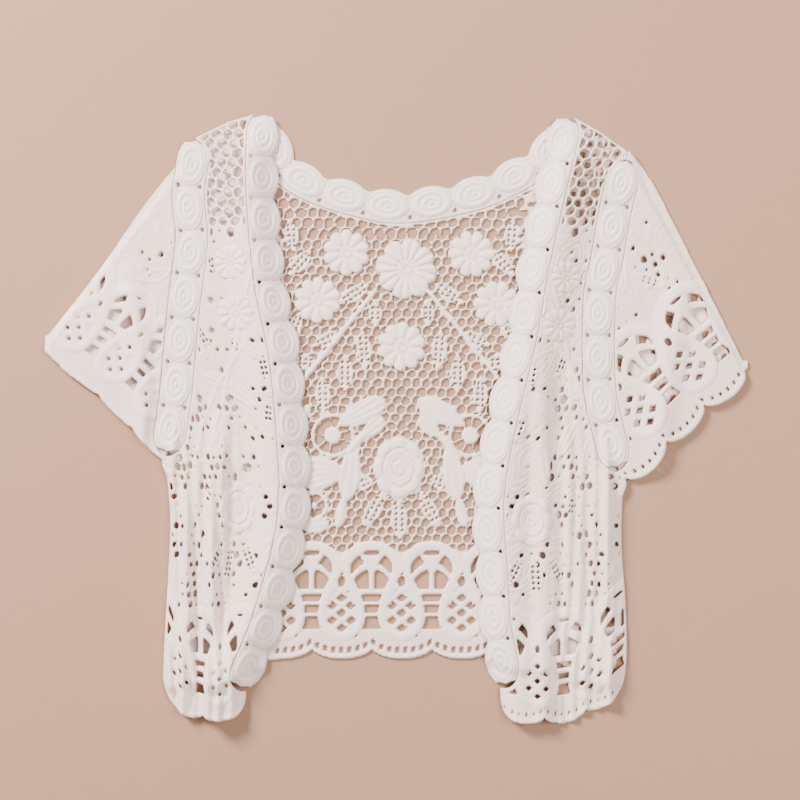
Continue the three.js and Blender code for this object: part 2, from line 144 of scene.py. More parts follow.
camera = bpy.data.cameras.new("camera")
camera.lens, camera.sensor_width = LENS, SENSOR
camera_object = bpy.data.objects.new("camera", camera)
camera_object.location = (*VIEW_CENTRE, VIEW_WIDTH * LENS / SENSOR)
bpy.context.scene.collection.objects.link(camera_object)
bpy.context.scene.camera = camera_object

for place, size, watts in LIGHTS:
    light = bpy.data.lights.new("soft_light", "AREA")
    light.size, light.energy = size, watts
    lamp = bpy.data.objects.new("soft_light", light)
    lamp.location = place
    lamp.rotation_euler = Vector(place).to_track_quat("Z", "Y").to_euler()
    bpy.context.scene.collection.objects.link(lamp)

world = bpy.data.worlds.new("studio")
world.use_nodes = True
world.node_tree.nodes["Background"].inputs["Color"].default_value = SKY
world.node_tree.nodes["Background"].inputs["Strength"].default_value = SKY_STRENGTH
bpy.context.scene.world = world


# The lace of the back
# One panel of thick cotton guipure lace, stitched on a backing that is then washed away, so
# that only threads are left. It lies flat on the table, from the shoulders to a scalloped hem.
# Sizes and places are in millimetres from here on.
CLOTH = 1.6
RELIEF = 1.0
MIDDLE = 4
BAND_PITCH = 48
BAND_CUSP = -184
SCALLOP = 9
LOWER_INSET = 8
SEAM = 0.3
CORD = 1.6
NET_PITCH = (9.0, 8.0)
NET_HALF = 0.86
YOKE_FROM = 146
UNDER_FRONTS_FROM = 98
CLOSED_UNDER_FRONTS = {"left": 6, "right": 1.3}
JITTER = 0.17
EDGE = 2.2
TUCK = 0.15
BACK_STEPS = {"middle": 1.6, "side": 3.5, "up": 1.6}

# Each side as it lies. A row of front_edge, armhole and side is a height y and a distance out
# from x = 0, and a row of the other lines is a distance out and a height. Scallops are their
# count and depth, and the ridge beside the front border is its height and reach. A fold is its
# crest's distance out, its lean, half width and height, and the height y that it starts at.
LEFT = {
    "name": "left",
    "sign": -1,
    "front_edge": [(241, 106), (178, 106), (109, 100), (48, 88), (-30, 81), (-65, 80.5),
                   (-101, 85), (-164, 103), (-213, 124)],
    "armhole": [(220, 160), (179, 166), (142, 163.5), (86, 170), (16, 176.5), (-26, 183)],
    "side": [(-38, 184), (-80, 181), (-135, 183), (-168, 185), (-214, 187)],
    "shoulder": [(106, 243), (112, 243), (134, 236.5), (162, 223)],
    "sleeve_top": [(166, 214), (201, 171), (238, 118), (279, 66)],
    "sleeve_hem": [(268, 41), (238, 19), (184, -35)],
    "sleeve_scallops": (3, 2.5),
    "hem": [(187, -217), (160, -235), (120, -232)],
    "hem_scallops": (2, 6),
    "ridge": (11, 30),
    "folds": [(141, 8, 13, 6, 20), (166, 2, 10, 5, -30)],
    "sleeve_folds": [(214, -14, 16, 4, 140)],
}
RIGHT = {
    "name": "right",
    "sign": 1,
    "front_edge": [(238, 136), (195, 125), (123, 109), (62, 98), (-6, 82), (-65, 72.5),
                   (-131, 76), (-165, 78), (-211, 87)],
    "armhole": [(204, 184), (167, 175), (130, 168.5), (94, 162), (26, 162), (-10, 169),
                (-38, 176)],
    "side": [(-54, 181), (-98, 180), (-154, 183.5), (-190, 184), (-206, 183)],
    "shoulder": [(136, 241), (142, 240), (163, 228), (186, 212)],
    "sleeve_top": [(186, 213), (205, 188), (243, 114), (277, 46)],
    "sleeve_hem": [(278, 37), (236, 3), (184, -48)],
    "sleeve_scallops": (3, 10),
    "hem": [(185, -211), (140, -236), (84, -235)],
    "hem_scallops": (3, 7),
    "ridge": (9, 34),
    "folds": [(116, 2, 13, 6, 60), (168, 2, 9, 5, 0)],
    "sleeve_folds": [(226, -16, 18, 4, 130)],
}
NECK = [(-103, 232), (-90, 203), (-68, 187), (-30, 174.5), (6, 169.5), (60, 179), (95, 194),
        (118, 210), (130, 230)]

# Motifs of the back: x, y, then radius, or length, width and turn in degrees. What stands on
# both sides of the middle is listed for the left side.
DAISIES = [(8, 119, 25), (-40, 132, 19), (60, 131, 19), (-63, 94, 19), (80, 91, 19), (4, 57, 20)]
ROSE = (2, -40, 21, 26)
STEM = ((-17, 102), (-78, 26))
LADDER_LEAVES = [
    (-17, 84, 24, 11, 90), (-26, 55, 33, 12.5, 95), (-41, 36, 32, 12.5, 90), (-59, 19, 31, 12.5, 92),
    (-34, 99, 29, 12, 34), (-54, 63, 28, 12, 24), (-73, 45, 24, 11, -8), (-84, 146, 28, 12, 96),
    (-77, 124, 28, 12, 50), (-82, 72, 28, 12, 68), (-18, -73, 32, 13, 60), (-27, -52, 18, 12, 18),
]
MIDDLE_LEAF = (2, -81, 34, 14, 90)


def smooth(t):
    """0 below 0, 1 above 1, and t squared times (3 - 2 t) between."""
    k = np.clip(t, 0, 1)
    return k * k * (3 - 2 * k)


def hump(t):
    """A bell that is 1 at 0 and falls as a cosine to 0 at 1 and -1."""
    return np.where(np.abs(t) < 1, (1 + np.cos(np.pi * t)) / 2, 0)


def cubic(a, b, c, d, t):
    """A cubic from b at t = 0 to c at t = 1, with the slopes (c - a) / 2 and (d - b) / 2."""
    return b + 0.5 * t * (c - a + t * (2 * a - 5 * b + 4 * c - d + t * (3 * (b - c) + d - a)))


def line_at(table, y):
    """Distance out of a line at the heights y, a cubic through the rows of its table."""
    rows = np.array(table, float)
    last = len(rows) - 1
    y = np.clip(y, rows[last, 0], rows[0, 0])
    i = np.clip(np.searchsorted(-rows[:, 0], -y, side="right") - 1, 0, last - 1)
    t = (rows[i, 0] - y) / (rows[i, 0] - rows[i + 1, 0])
    return cubic(*(rows[np.clip(i + k, 0, last), 1] for k in (-1, 0, 1, 2)), t)


def outer_line(side, y):
    """Distance out of a side's outer line: the armhole, a small bulge at the armpit and the
    side seam below it."""
    (above, top), (below, bottom) = side["armhole"][-1], side["side"][0]
    between = top + (bottom - top) * np.clip((above - y) / (above - below), 0, 1)
    lower = np.where(y > below, between, line_at(side["side"], y))
    return np.where(y > above, line_at(side["armhole"], y), lower) + 3.5 * hump((y - below - 4) / 14)


def path_places(points, count):
    """count + 1 evenly spaced places on a smooth curve through the points, with its length."""
    rows = np.array(points, float)
    last = len(rows) - 1
    s = np.linspace(0, last, 400)
    i = np.clip(s.astype(int), 0, last - 1)
    t = (s - i)[:, None]
    fine = cubic(*(rows[np.clip(i + k, 0, last)] for k in (-1, 0, 1, 2)), t)
    run = np.concatenate([[0], np.cumsum(np.hypot(*np.diff(fine, axis=0).T))])
    even = np.linspace(0, run[-1], count + 1)
    return np.stack([np.interp(even, run, fine[:, k]) for k in (0, 1)], 1), run[-1]


def path_ways(line):
    """The direction of a path at each of its places, as rows of length 1."""
    way = np.gradient(line, axis=0)
    return way / np.hypot(*way.T)[:, None]


def back_hem(x):
    """Height of the scalloped hem: round lobes under each pineapple, lower beside the seams."""
    lobe = np.sqrt(np.abs(np.cos(np.pi * (x - MIDDLE) / BAND_PITCH)))
    return BAND_CUSP - SCALLOP * lobe - 16 * smooth((np.abs(x - MIDDLE) - 90) / 80)


def repeat(t, pitch):
    """Distance from t to the nearest whole multiple of pitch, with its sign."""
    return t - pitch * np.round(t / pitch)


def dome(inside, radius):
    """Quarter-round profile: 0 on the edge, 1 from radius inwards."""
    k = 1 - np.clip(inside / radius, 0, 1)
    return np.sqrt(1 - k * k)


def scatter(i, j):
    """A number from -1 to 1 for each pair of whole numbers, uneven but the same every time."""
    return 2 * ((np.sin(i * 12.99 + j * 78.23) * 43758.5) % 1) - 1


def net(p, q, pitch, half, vary=0.2):
    """How far a place lies inside the threads of a net of uneven rounded cells.

    The cells' middles are a triangular lattice with each middle a little off its place. Threads
    run half way between neighbouring middles, and a soft minimum over the neighbours rounds
    the cells' corners. Threads are half wide to each side, more or less by vary in each cell.
    """
    rise = pitch * np.sqrt(0.75)
    middles = []
    for down in (-1, 0, 1):
        j = np.round(q / rise) + down
        shift = (j % 2) / 2
        for over in (-1, 0, 1):
            i = np.round(p / pitch - shift) + over
            middles.append(((i + shift + JITTER * scatter(i, j)) * pitch,
                            (j + JITTER * scatter(j + 31, i)) * rise, scatter(i - 7, j + 19)))
    cx, cy, share = (np.stack(each) for each in zip(*middles))
    away = (p - cx) ** 2 + (q - cy) ** 2
    own = away.argmin(0)[None]
    mx, my, least = (np.take_along_axis(a, own, 0) for a in (cx, cy, away))
    apart = np.hypot(cx - mx, cy - my)
    to_edge = np.where(apart > 0, (away - least) / np.maximum(2 * apart, 1e-6), 99)
    rounding = 2.3
    half = half + vary * np.take_along_axis(share, own, 0)[0]
    return half + np.log(np.exp(-rounding * to_edge).sum(0)) / rounding


def drift(p, q):
    """A slow uneven swell from -1 to 1 over the cloth, where its weave opens and closes."""
    return np.sin(p / 13 + 2 * np.sin(q / 31)) * np.sin(q / 15 + 1.5 * np.sin(p / 19))


def rounded(first, second, radius):
    """The lesser of two distances in from two edges, with the corner between them round."""
    return radius - np.hypot(np.maximum(radius - first, 0), np.maximum(radius - second, 0))


class Chart:
    """Lace on an array of pattern places p, q in millimetres.

    thread is how far a place lies inside thread, below 0 in an opening, and relief is how far
    it stands up over the ground, from 0 to 1. A motif clears the ground it stands on.
    """

    def __init__(self, p, q, ground):
        self.p, self.q = p, q
        self.thread = ground.copy()
        scrolls = hump(repeat(3.1 * drift(p * 1.4 + 5, q * 1.2), 1) / 0.22)
        self.relief = 0.5 * scrolls * smooth((ground - 0.5) / 2)

    def motif(self, draw, x, y, reach, turn=0.0, flip=1):
        """Draws a motif about x, y, turned by degrees. draw gives area, thread and relief."""
        at = np.nonzero((np.abs(self.p - x) < reach) & (np.abs(self.q - y) < reach))
        if not at[0].size:
            return
        dx, dy = flip * (self.p[at] - x), self.q[at] - y
        cos, sin = np.cos(np.radians(turn)), np.sin(np.radians(turn))
        area, thread, relief = draw(dx * cos + dy * sin, dy * cos - dx * sin)
        self.thread[at] = np.maximum(np.minimum(self.thread[at], -area), thread)
        self.relief[at] = np.where(area > 0, relief, self.relief[at])

    def leaf(self, x, y, long, wide, turn, flip=1):
        """A ladder leaf about x, y."""
        self.motif(ladder_leaf(long, wide), x, y, long * 0.6, turn, flip)

    def rose(self, x, y, across, up):
        """The ground of a rose about x, y."""
        self.motif(rose_pad(across, up), x, y, up + 1)

    def line(self, start, end, half):
        """A straight corded stem between two places, half is half its width."""
        run = np.subtract(end, start)
        t = np.clip(((self.p - start[0]) * run[0] + (self.q - start[1]) * run[1]) / (run @ run), 0, 1)
        away = np.hypot(self.p - start[0] - t * run[0], self.q - start[1] - t * run[1])
        self.thread = np.maximum(self.thread, half - away)
        self.relief = np.maximum(self.relief, 0.8 * dome(half - away, half))


def flower_pad(radius, petals=10):
    """A solid flower: its radius swells for each petal."""
    def draw(u, v):
        swell = 0.86 + 0.14 * np.sqrt(np.abs(np.cos(petals * np.arctan2(v, u) / 2)))
        area = radius * swell - np.hypot(u, v)
        return area, area, 0.3 * dome(area, 3)
    return draw


def ladder_leaf(long, wide):
    """A pointed solid leaf with a rib down its middle and a row of small openings each side."""
    def draw(u, v):
        bend = 1 - np.abs(2 * u / long) ** 1.9
        area = (wide / 2 * np.clip(bend, -1, 1) - np.abs(v)) * 0.9
        hole = 1.1 - np.hypot(repeat(u, 4.4), np.abs(v) - 0.17 * wide)
        hole = np.minimum(hole, (long / 2 - 4.5 - np.abs(u)) * 0.6)
        thread = np.minimum(area, -1.5 * hole)
        return area, thread, 0.85 * dome(1.5 - area, 1.5) + 0.35 * dome(0.9 - np.abs(v), 0.9)
    return draw


def plume(long, wide, ribs):
    """A solid feather or scroll leaf, round at one end, with ribs that fan out along it."""
    def draw(u, v):
        t = np.clip(u / long + 0.5, 0, 1)
        half = wide / 2 * np.sqrt(np.clip(np.sin(np.pi * t ** 1.3), 0, 1))
        area = np.minimum(half - np.abs(v), long / 2 - np.abs(u) + 0.5) * 0.9
        fan = np.cos(2 * np.pi * ribs * v / (wide * (0.35 + 0.65 * t)))
        return area, area, dome(area, 2.2) * (0.6 + 0.4 * fan)
    return draw


def wreath(berry, radius, spokes):
    """A solid berry inside a ring of cord, with short threads between them."""
    def draw(u, v):
        away = np.hypot(u, v)
        angle = np.arctan2(v, u) + 0.4
        bars = 0.75 - away * np.abs(repeat(angle, 2 * np.pi / spokes))
        thread = np.maximum.reduce([berry - away, 1.5 - np.abs(away - radius), bars])
        cord = 0.7 * hump((away - radius) / 1.8)
        relief = np.maximum(0.9 * dome(berry - away, 4) * (away < berry), cord)
        return radius + 1.5 - away, thread, relief
    return draw


def curl(radius, half):
    """Three quarters of a ring of cord."""
    def draw(u, v):
        away = np.hypot(u, v)
        ring = half - np.abs(away - radius)
        gap = np.minimum(u, v) * 0.7
        thread = np.minimum(ring, -gap)
        return np.minimum(radius + half - away, 3.0), thread, 0.8 * dome(thread, half)
    return draw


def hem_band(p, q, edge):
    """The hem's band of pineapples with palms between them.

    p runs along the hem, with a pineapple at each multiple of BAND_PITCH, q is the height over
    the cusps of the scallops and edge the distance in from the scalloped edge. A pineapple is a
    drop-shaped ribbon round a lattice. Ribbons arch from one to the next over a palm, which is
    a crown and a trunk on a cross band, and a row of eyelets follows the edge.
    """
    u = repeat(p, BAND_PITCH)
    m = BAND_PITCH / 2 - np.abs(u)

    def drop(radius, middle, neck, top):
        v = q - middle
        taper = neck + (radius - neck) * (1 - np.clip(v / top, 0, 1) ** 2)
        return np.where(v < 0, radius - np.hypot(u, v), (taper - np.abs(u)) * 0.9)

    outer, inner = drop(19, 25, 7.6, 34), drop(12.2, 25, 1.5, 25)
    outer = np.where(q > 62, np.minimum(outer, 76 - q), outer)
    inner = np.minimum(inner, 48 - q)
    slant = np.radians(38.3)
    apart = 9.42
    lattice = np.maximum.reduce([
        2.15 - np.abs(repeat(u * np.sin(slant) + way * (q - 28) * np.cos(slant) + apart / 2, apart))
        for way in (1, -1)
    ])
    slots = np.maximum((1 - np.hypot(u / 2.7, (q - 53.5) / 4.2)) * 2.7,
                       (1 - np.hypot(u / 1.2, (q - 62) / 3.6)) * 1.2)
    pineapple = np.minimum.reduce([outer, np.maximum(-inner, lattice), -slots])
    vault = (1 - np.hypot(m / 25.5, (q - 62) / 24)) * 24
    arch = np.minimum(vault, (np.hypot(m / 17, (q - 62) / 14.5) - 1) * 15)
    arch = np.where(q > 60, arch, -9)
    crown = np.minimum(2.9 - 0.9 * np.abs(q - 66 + 0.04 * m * m), 19 - np.abs(m))
    trunk = np.minimum(2.3 - np.abs(m), np.minimum(q - 43, 66 - q))
    fan = np.minimum(3.0 + 6.5 * smooth((q - 62) / 13) - np.abs(m), np.minimum(q - 60, 80 - q))
    slot = (1 - np.hypot(m / 6.6, (q - 76) / 1.8)) * 1.8
    bars = np.maximum.reduce([2.3 - np.abs(q - 45.2), 1.5 - np.abs(q - 35.8), 1.6 - np.abs(q - 26.8)])
    bars = np.minimum(bars, 16 - np.abs(m))
    foot = np.maximum(np.minimum(15.5 - q, 12 - m), np.minimum(9 - q, 14 - np.abs(u)))
    eyelets = np.minimum(1.3 - np.abs(repeat(p + 3.2, 6.4)), 2.0 - np.abs(edge - 7.2))
    hem = np.minimum(np.maximum(13 - edge, foot), -eyelets)
    palm = np.maximum.reduce([crown, trunk, fan, bars])
    thread = np.maximum(np.minimum(np.maximum.reduce([pineapple, arch, palm]), -slot), hem)
    area = np.maximum(vault, 62 - q)
    ribbon = np.maximum(np.minimum(outer, -inner), arch)
    relief = np.maximum.reduce([
        0.85 * dome(ribbon, 2.8) * (ribbon > 0), 0.5 * dome(palm, 1.8) * (palm > 0),
        0.4 * dome(lattice, 1.5) * ((inner > 0) & (lattice > 0)), 0.5 * hump((edge - 2.6) / 2.4),
    ])
    return area, thread, relief


def put_band(chart, p, q, edge):
    """Draws the hem's band on a chart, whose own threads end where the band starts."""
    area, thread, relief = hem_band(p, q, edge)
    chart.thread = np.maximum(np.minimum(chart.thread, -area), thread)
    chart.relief = np.where(area > 0, relief, chart.relief)


def lace(name, x, y, thread, low, high, material):
    """A lace panel as one closed mesh on a grid of places x, y in millimetres.

    Each cell of the grid is two triangles, and of each triangle the part is kept where thread
    is above 0, cut along straight lines between the places on its sides where thread is 0.
    That surface is laid twice, at the heights low and high, and the two meet on the cut edge.
    Only the largest connected surface is kept.
    """
    rows, columns = x.shape
    thread = thread.copy()
    thread[[0, -1]] = thread[:, [0, -1]] = -1
    count = rows * columns
    index = np.arange(count).reshape(rows, columns)
    flat = [a.ravel() for a in (x, y, low, high)]
    field = thread.ravel()
    inside = field > 0

    def edge_places(first, second):
        """Values on each side where thread crosses 0, kept off the side's two ends."""
        a, b = field[first], field[second]
        t = np.clip(a / np.where(a == b, 1, a - b), 0.06, 0.94)
        return [v[first] + t * (v[second] - v[first]) for v in flat]

    not_last = index % columns < columns - 1
    right = np.where(not_last, index + 1, index)
    up = np.where(index < count - columns, index + columns, index)
    slant = np.minimum(np.where(not_last, up + 1, index), count - 1)
    sides = [edge_places(index.ravel(), other.ravel()) for other in (right, up, slant)]
    values = [np.concatenate([flat[k], *(s[k] for s in sides)]) for k in range(4)]

    a, b = index[:-1, :-1].ravel(), index[:-1, 1:].ravel()
    c, d = index[1:, 1:].ravel(), index[1:, :-1].ravel()
    along, rise, cross = count, 2 * count, 3 * count
    corners = np.concatenate([np.stack([a, b, c], 1), np.stack([a, c, d], 1)])
    edges = np.concatenate([np.stack([along + a, rise + b, cross + a], 1),
                            np.stack([cross + a, along + d, rise + a], 1)])
    state = inside[corners]
    faces = [corners[state.all(1)]]
    for k in range(3):
        k1, k2 = (k + 1) % 3, (k + 2) % 3
        one = state[:, k] & ~state[:, k1] & ~state[:, k2]
        faces.append(np.stack([corners[one, k], edges[one, k], edges[one, k2]], 1))
        two = state[:, k] & state[:, k1] & ~state[:, k2]
        p0, p1, e1, e2 = corners[two, k], corners[two, k1], edges[two, k1], edges[two, k2]
        faces.append(np.stack([p0, p1, e1], 1))
        faces.append(np.stack([p0, e1, e2], 1))
    faces = np.concatenate(faces)
    faces = faces[largest(faces, 4 * count)]

    used, faces = np.unique(faces, return_inverse=True)
    faces = faces.reshape(-1, 3)
    px, py, bottom, top = (v[used] for v in values)
    cut = used >= count
    meet = bottom + 0.42 * (top - bottom)
    bottom, top = np.where(cut, meet, bottom), np.where(cut, meet, top)
    (dx, dy), (ex, ey) = ((x[1, k] - x[0, 0], y[1, k] - y[0, 0]) for k in (1, 0))
    if dx * ey < dy * ex:
        faces = faces[:, ::-1]
    below = np.where(cut, np.arange(len(used)), len(used) + np.cumsum(~cut) - 1)
    places = np.concatenate([np.stack([px, py, top], 1), np.stack([px, py, bottom], 1)[~cut]])
    both = np.concatenate([faces, below[faces][:, ::-1]])
    # raised is the lace's thickness as a share of its full height, 0 on cut edges and the underside; the
    # material paints shade where it is low.
    raised = np.concatenate([np.where(cut, 0, (top - bottom) / (CLOTH + RELIEF)), np.zeros((~cut).sum())])
    return mesh_object(name, places, both, material, raised)


def largest(faces, count):
    """Which faces belong to the connected surface that has the most of them."""
    label = np.arange(count)
    while True:
        before = label.copy()
        low = label[faces].min(1)
        for k in range(3):
            np.minimum.at(label, faces[:, k], low)
        label = label[label]
        if (label == before).all():
            break
    names, sizes = np.unique(label[faces[:, 0]], return_counts=True)
    return label[faces[:, 0]] == names[sizes.argmax()]


def heights(thread, relief, low):
    """Underside and top of lace: round threads on the underside low, motifs standing up."""
    return low, low + CLOTH * (0.55 + 0.45 * dome(thread, 1.2)) + RELIEF * relief


def lace_cotton(name, colour, shade):
    """Matt twisted cotton: fine uneven stitches, a little fuzz, and painted shade where the attribute
    raised is low: hollows, thin ground, cut edges and the underside.
    """
    material = bpy.data.materials.new(name)
    tree = Tree(material)
    place = tree.node("TexCoord", output="Object")
    stitch = tree.node("TexNoise", {"noise_dimensions": "3D"}, Vector=place, Scale=820.0, Detail=2.0)
    fuzz = tree.node("TexNoise", Vector=place, Scale=2600.0, Detail=1.0)
    patch = tree.node("TexNoise", Vector=place, Scale=14.0, Detail=2.0)
    # Painted shade: where raised is low (in hollows, on thin ground, cut edges and the underside) the
    # colour is mixed towards the shade colour, which slow noise lightens unevenly.
    raised = tree.node("Attribute", {"attribute_name": "raised"}, output="Fac")
    painted_shade = tree.mix(patch * 0.5, shade, colour)
    light = tree.mix((raised - 0.22) * 1.75, painted_shade, colour)
    height = stitch * 0.7 + fuzz * 0.3
    bump = tree.node("Bump", Height=height, Strength=0.55, Distance=0.0006)
    tree.finish(Base_Color=light, Roughness=0.84 + 0.1 * fuzz, Normal=bump, Sheen_Weight=0.25,
                Sheen_Roughness=0.5, Specular_IOR_Level=0.25)
    return material


# LACE_SHADE is painted shade for the lace's hollows, thin ground, cut edges and underside, warm like
# light bounced from the tan table.
LACE_COLOUR, LACE_SHADE = (0.98, 0.775, 0.68, 1), (0.62, 0.42, 0.33, 1)
lace_material = lace_cotton("lace_cotton", LACE_COLOUR, LACE_SHADE)


def panel(name, x, y, chart, within, low):
    """A chart's lace where every distance of within is above 0, with a solid edge round it."""
    inside = np.minimum.reduce(within)
    thread = np.minimum(inside, np.maximum(chart.thread, EDGE - inside))
    bottom, top = heights(thread, chart.relief, low)
    return lace(name, x, y, thread, bottom, top, lace_material)


def declare(piece, node, slot, flat, area, rests_on=()):
    """A piece of cloth that stands for a node and lies where it is."""
    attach(piece, "root")
    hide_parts(node)


def uneven(start, fine_from, fine_to, end, coarse, fine):
    """Grid lines from start to end, fine apart between two places and coarse outside them."""
    stretches = ((start, fine_from, coarse), (fine_from, fine_to, fine), (fine_to, end, coarse))
    parts = [np.linspace(a, b, max(2, round((b - a) / step)) + 1)[:-1] for a, b, step in stretches]
    return np.concatenate([*parts, [end]])


def mirror_place(x, flip):
    """The place x, or its mirror image in the middle line where flip is -1."""
    return MIDDLE + flip * (x - MIDDLE)


def mirrored(rows):
    """The rows as listed and again on the other side of the middle."""
    return [(x, y, *rest, 1) for x, y, *rest in rows] + \
           [(2 * MIDDLE - x, y, *rest, -1) for x, y, *rest in rows]


def leafy_bird(chart, flip):
    """A plump bird on a branch: plumes for wing, body and tail, wreathed berries and twigs."""
    for x, y, berry, radius, spokes in ((-51, -14, 7, 16, 9), (-66, -70, 3, 10, 6)):
        chart.motif(wreath(berry, radius, spokes), mirror_place(x, flip), y, radius + 3, 0, flip)
    for x, y, long, wide, ribs, turn in (
        (-61, -44, 40, 28, 4, 184), (-37, -42, 50, 17, 2, -98), (-44, -75, 26, 10, 1, 258),
        (-28, 4, 44, 19, 3, 28), (-19, -8, 24, 13, 2, 40), (-33, -21, 24, 8, 1, 52),
        (-66, -86, 24, 13, 2, 8), (-74, 3, 18, 9, 1, 62),
    ):
        chart.motif(plume(long, wide, ribs), mirror_place(x, flip), y, long, turn, flip)
    chart.motif(curl(6, 1.5), mirror_place(-79, flip), -14, 9, 200, flip)


def rose_pad(across, up):
    """The rose's ground: eight broad petals in an upright oval."""
    def draw(u, v):
        angle = np.arctan2(v / up, u / across)
        swell = 0.9 + 0.1 * np.sqrt(np.abs(np.cos(4 * angle)))
        area = (swell - np.hypot(u / across, v / up)) * across
        return area, area, 0.3 * dome(area, 3)
    return draw


def motif_row(path, pitch, across, overlap):
    """Round motifs spaced along a path: x, y, half length, half width and turn of each."""
    length = path_places(path, 1)[1]
    count = round(length / pitch)
    places = path_places(path, 2 * count)[0]
    way = places[2::2] - places[:-2:2]
    half = length / count / 2
    full = np.full(count, 1.0)
    return np.stack([*places[1::2].T, full * (half + overlap), full * across / 2,
                     np.arctan2(way[:, 1], way[:, 0])], 1)


def aside(x, y, path):
    """How far a place lies to the left of a path, below 0 to its right."""
    line = path_places(path, 90)[0]
    way = path_ways(line)
    nearest, left = np.full(x.shape, 1e9), np.zeros(x.shape)
    for (px, py), (wx, wy) in zip(line, way):
        away = np.hypot(x - px, y - py)
        left = np.where(away < nearest, (y - py) * wx - (x - px) * wy, left)
        nearest = np.minimum(away, nearest)
    return left


def chain_field(x, y, motifs):
    """How far a place lies inside the nearest of a row of oval motifs, below 0 outside them."""
    best = np.full(x.shape, -99.0)
    for mx, my, long, wide, turn in motifs:
        u = (x - mx) * np.cos(turn) + (y - my) * np.sin(turn)
        v = (y - my) * np.cos(turn) - (x - mx) * np.sin(turn)
        best = np.maximum(best, (1 - np.hypot(u / long, v / wide)) * wide)
    return best


def back_panel():
    """The back: a chart in the panel's own places, kept inside its outline."""
    us = uneven(-188, -98, 96, 186, BACK_STEPS["side"], BACK_STEPS["middle"])
    vs = np.arange(BAND_CUSP - SCALLOP - 18, 240, BACK_STEPS["up"])
    x, y = np.meshgrid(us, vs)
    hidden = smooth((np.abs(x - MIDDLE) - 92) / 12) * smooth((160 - y) / 20)
    wide_net, close_net = (net(x, y, pitch, NET_HALF) for pitch in NET_PITCH)
    ground = np.where(y > YOKE_FROM, wide_net, close_net) + hidden * (2.6 + 0.9 * drift(x, y))
    chart = Chart(x, y, ground)
    for row in mirrored(LADDER_LEAVES):
        chart.leaf(*row)
    for flip in (1, -1):
        chart.line(*((mirror_place(a, flip), b) for a, b in STEM), 1.9)
        leafy_bird(chart, flip)
    chart.leaf(*MIDDLE_LEAF)
    for dx, dy, radius in DAISIES:
        chart.motif(flower_pad(0.84 * radius), dx, dy, radius)
    chart.rose(*ROSE)
    edge = y - back_hem(x)
    put_band(chart, x - MIDDLE, y - BAND_CUSP, edge)
    chart.thread += CLOSED_UNDER_FRONTS["left"] * smooth((-UNDER_FRONTS_FROM - x) / 8)
    chart.thread += CLOSED_UNDER_FRONTS["right"] * smooth((x - UNDER_FRONTS_FROM) / 8)

    shoulders = [(-x, y) for x, y in LEFT["shoulder"][::-1]] + RIGHT["shoulder"]
    top = np.interp(x, *zip(*shoulders))
    within = [edge, (top - y) * 0.8, TUCK - aside(x, y, NECK) - NECK_MOTIF["across"] / 2 - CORD]
    for side in (LEFT, RIGHT):
        out = side["sign"] * x
        armpit = side["side"][0][0]
        within.append(outer_line(side, y) - LOWER_INSET * smooth((armpit + 20 - y) / 20) - out)
    return panel("back_lace", x, y, chart, within, np.zeros(x.shape))


NECK_MOTIF = {"pitch": 34, "across": 25, "overlap": 1.2}
neck_motifs = motif_row(NECK, **NECK_MOTIF)
back = back_panel()
declare(back, "back", "lace_cotton", (0.372, 0.450), 0.105)


# Buttons of relief on the lace
# Daisies and the rose are padded satin stitch on the same ground, so each is a low closed
# button on the panel, with petals, a ringed eye and grooves between the petals.
LEAST_RISE = 0.3
LARGE_DAISY = 22


